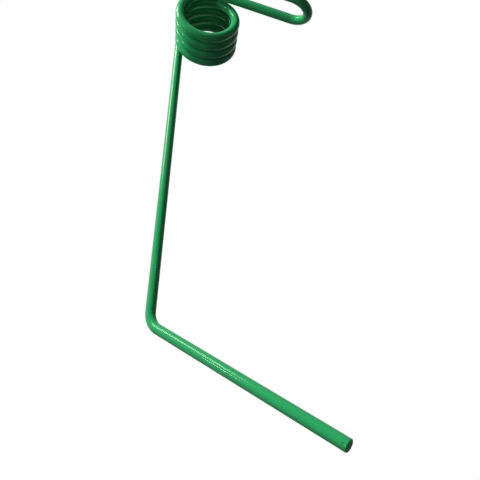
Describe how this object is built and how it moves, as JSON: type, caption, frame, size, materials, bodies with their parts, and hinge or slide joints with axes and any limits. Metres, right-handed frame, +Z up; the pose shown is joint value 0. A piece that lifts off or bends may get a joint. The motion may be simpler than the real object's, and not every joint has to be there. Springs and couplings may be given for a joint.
{
  "type": "spring tine",
  "caption": "Round-wire spring tine for a cultivator: a hairpin eye clamped under a bolt, a close coil for spring, a straight leg and a foot kicked forward.",
  "frame": {"origin": "centre of the bolt in the closed end of the hairpin eye, on the eye's middle plane", "axes": "+Z runs up the leg towards the coil, +Y along the coil axis from the eye's end to the leg's end, +X from the coil out to the eye and foot"},
  "size_m": [0.1229, 0.0951, 0.3772],
  "materials": {
    "coated_wire": "gloss green powder coat over spring steel, bare at the sheared ends"
  },
  "bodies": {
    "root": {"spring_tine": "coated_wire"}
  },
  "joints": []
}
